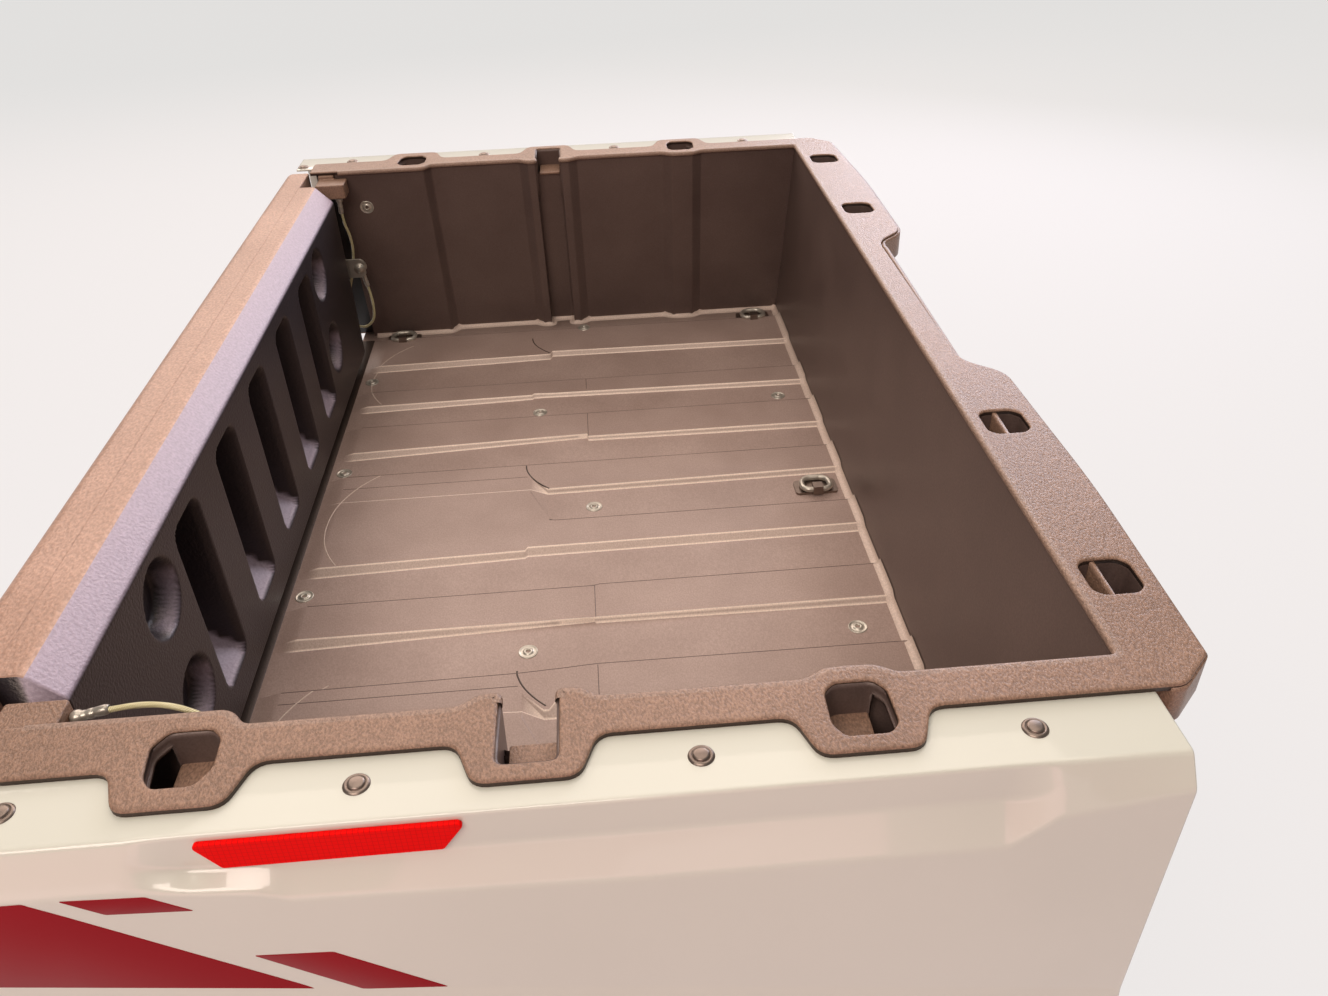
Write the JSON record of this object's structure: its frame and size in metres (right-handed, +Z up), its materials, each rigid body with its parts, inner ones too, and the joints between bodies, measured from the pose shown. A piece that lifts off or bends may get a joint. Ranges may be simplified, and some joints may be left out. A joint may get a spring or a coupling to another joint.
{
  "type": "utility vehicle cargo bed",
  "caption": "Tipping cargo bed of a side-by-side utility vehicle: ribbed floor, flared walls, pocketed rails, drop tailgate on cables, hinge frame and lift strut.",
  "frame": {"origin": "centre of the four bolt holes in the hinge frame's feet, on their underside", "axes": "+X forward towards the cab, +Y to the vehicle's left, +Z up"},
  "size_m": [0.802, 1.27, 0.504],
  "materials": {
    "moulded_black": "grained",
    "panel_paint": "gloss",
    "reflector_red": "clear over prisms",
    "black_steel": "semi-gloss powder coat",
    "zinc_steel": "zinc plated",
    "cable_sheath": "coated wire rope",
    "pad_rubber": "matte",
    "chrome_rod": "ground and chromed"
  },
  "bodies": {
    "frame": {"frame_rail_left": "black_steel", "frame_rail_right": "black_steel", "frame_cross_rear": "black_steel", "frame_cross_front": "black_steel", "frame_feet": "black_steel", "hinge_clevis_left": "black_steel", "hinge_clevis_right": "black_steel", "rest_pads": "pad_rubber", "latch_striker": "zinc_steel", "strut_bracket": "black_steel"},
    "bed": {"wall_left": "moulded_black", "wall_right": "moulded_black", "wall_front": "moulded_black", "rail_left": "moulded_black", "rail_right": "moulded_black", "rail_front": "moulded_black", "bed_floor": "moulded_black", "side_panel_left": "panel_paint", "side_panel_right": "panel_paint", "side_skirt_left": "moulded_black", "side_skirt_right": "moulded_black", "reflector_left": "reflector_red", "reflector_right": "reflector_red", "corner_post_left": "black_steel", "corner_post_right": "black_steel", "cable_block_left": "moulded_black", "cable_block_right": "moulded_black", "tie_down_plates": "zinc_steel", "tie_down_rings": "zinc_steel", "bed_channel_left": "black_steel", "bed_channel_right": "black_steel", "bed_cross_front": "black_steel", "bed_cross_middle": "black_steel", "strut_yoke": "black_steel", "bed_sill": "black_steel", "bed_latch": "black_steel", "tailgate_cable_left": "cable_sheath", "tailgate_cable_right": "cable_sheath"},
    "tailgate": {"tailgate_inner": "moulded_black", "tailgate_outer": "moulded_black", "tailgate_leaf_left": "black_steel", "tailgate_leaf_right": "black_steel", "tailgate_bracket_left": "zinc_steel", "tailgate_bracket_right": "zinc_steel"},
    "strut_cylinder": {"strut_cylinder": "black_steel"},
    "strut_rod": {"strut_rod": "chrome_rod"}
  },
  "joints": [
    {"name": "bed_tilt", "type": "hinge", "parent": "frame", "child": "bed", "pos_m": [-0.315, 0, 0.026], "axis": [0, -1, 0], "range_deg": [0, 45]},
    {"name": "tailgate_swing", "type": "hinge", "parent": "bed", "child": "tailgate", "pos_m": [-0.39, 0, 0.079], "axis": [0, -1, 0], "range_deg": [0, 90], "deforming": ["tailgate_cable_left", "tailgate_cable_right"]},
    {"name": "strut_swing", "type": "hinge", "parent": "frame", "child": "strut_cylinder", "pos_m": [-0.23, 0, -0.107], "axis": [0, -1, 0], "range_deg": [0, 25.4]},
    {"name": "strut_extend", "type": "slide", "parent": "strut_cylinder", "child": "strut_rod", "axis": [0.5046, 0, 0.8634], "range_m": [0, 0.0945]}
  ],
  "couplings": [
    {"joint": "strut_swing", "follows": "bed_tilt", "ratio": 0.56166},
    {"joint": "strut_extend", "follows": "bed_tilt", "m_per_rad": 0.12003}
  ]
}
